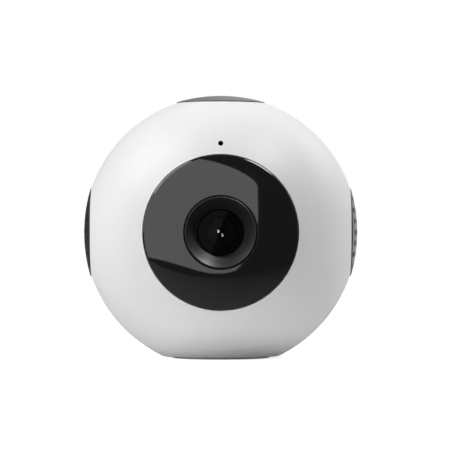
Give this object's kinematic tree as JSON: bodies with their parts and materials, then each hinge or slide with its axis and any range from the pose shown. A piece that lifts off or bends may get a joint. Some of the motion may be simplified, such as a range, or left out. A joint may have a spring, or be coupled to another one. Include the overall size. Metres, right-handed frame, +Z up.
{
  "type": "mini security camera",
  "caption": "Ball-shaped mini camera with a flat foot, domed black window with a recessed lens, perforated side caps and a push button on top.",
  "frame": {"origin": "middle of the underside of the rubber foot, on the surface that the camera stands on", "axes": "+Z up through the top button, the lens looks along -Y, +X to the right of someone facing the lens"},
  "size_m": [0.06, 0.0577, 0.0575],
  "materials": {
    "white_plastic": "satin white moulded plastic",
    "black_window": "glossy black infrared-clear plastic",
    "black_satin": "satin black plastic",
    "grille_grey": "satin dark grey plastic",
    "button_grey": "satin grey plastic",
    "panel_grey": "satin dark grey plastic",
    "frame_plastic": "black moulded plastic",
    "acoustic_cloth": "fine black cloth",
    "foam": "black foam",
    "rubber": "black rubber",
    "grey_pad": "grey silicone pad",
    "circuit_board": "green solder mask",
    "chip": "black moulded package",
    "led_body": "pale package with a clear lens",
    "lens_glass": "coated lens glass",
    "cut_filter_glass": "blue-green filter glass",
    "clear_filter_glass": "clear filter glass",
    "sensor_cover": "dark sensor under glass",
    "barrel_metal": "black anodised aluminium",
    "sink_metal": "bare aluminium",
    "tin": "tinned steel",
    "steel": "zinc-plated steel",
    "magnet_metal": "nickel-plated magnet",
    "copper": "enamelled copper winding",
    "brass": "bare brass",
    "pouch_foil": "laminated foil pouch",
    "antenna_foil": "copper foil on film"
  },
  "bodies": {
    "ball": {"front_shell": "white_plastic", "rear_shell": "white_plastic", "front_window": "black_window", "window_gasket": "foam", "lens_bezel": "black_satin", "left_grille": "grille_grey", "right_grille": "grille_grey", "left_dust_mesh": "acoustic_cloth", "right_dust_mesh": "acoustic_cloth", "button_switch": "chip", "button_board": "circuit_board", "rear_panel": "panel_grey", "base_plate": "white_plastic", "rubber_foot": "rubber", "tripod_insert": "brass", "lens_barrel": "barrel_metal", "lens_retainer": "barrel_metal", "front_lens": "lens_glass", "aperture_stop": "barrel_metal", "rear_lens": "lens_glass", "lens_lock_nut": "barrel_metal", "lens_holder": "frame_plastic", "inner_frame": "frame_plastic", "light_shield": "foam", "led_board": "circuit_board", "infrared_leds": "led_body", "light_sensor": "led_body", "filter_tray": "frame_plastic", "filter_coil": "copper", "image_sensor": "sensor_cover", "sensor_board": "circuit_board", "main_board": "circuit_board", "processor": "chip", "thermal_pad": "grey_pad", "heat_sink": "sink_metal", "wireless_module": "tin", "antenna": "antenna_foil", "usb_socket": "tin", "card_socket": "tin", "reset_switch": "chip", "battery": "pouch_foil", "battery_pad": "foam", "speaker_basket": "steel", "speaker_cone": "black_satin", "speaker_magnet": "magnet_metal", "speaker_gasket": "foam", "microphone": "tin", "microphone_boot": "rubber", "inner_screws": "steel", "base_screws": "steel", "sensor_flex": "antenna_foil", "flex_connectors": "chip"},
    "top_button": {"top_button": "button_grey", "button_switch_stem": "black_satin"},
    "filter_carrier": {"filter_slider": "black_satin", "infrared_filter": "cut_filter_glass", "clear_filter": "clear_filter_glass"},
    "filter_rotor": {"filter_rotor": "magnet_metal"},
    "reset_plunger": {"reset_plunger": "black_satin"}
  },
  "joints": [
    {"name": "button_press", "type": "slide", "parent": "ball", "child": "top_button", "axis": [0, 0, -1], "range_m": [0, 0.0003], "stiffness_N_per_m": 4000, "springref_m": -0.0001},
    {"name": "filter_turn", "type": "hinge", "parent": "ball", "child": "filter_rotor", "pos_m": [0, -0.0112, 0.0375], "axis": [0, -1, 0], "range_deg": [0, 68.11]},
    {"name": "filter_shift", "type": "slide", "parent": "ball", "child": "filter_carrier", "axis": [1, 0, 0], "range_m": [0, 0.0056]},
    {"name": "reset_press", "type": "slide", "parent": "ball", "child": "reset_plunger", "axis": [0, -1, 0], "range_m": [0, 0.00025], "stiffness_N_per_m": 4000, "springref_m": -0.0001}
  ],
  "couplings": [
    {"joint": "filter_turn", "follows": "filter_shift", "rad_per_m": 212.27}
  ]
}
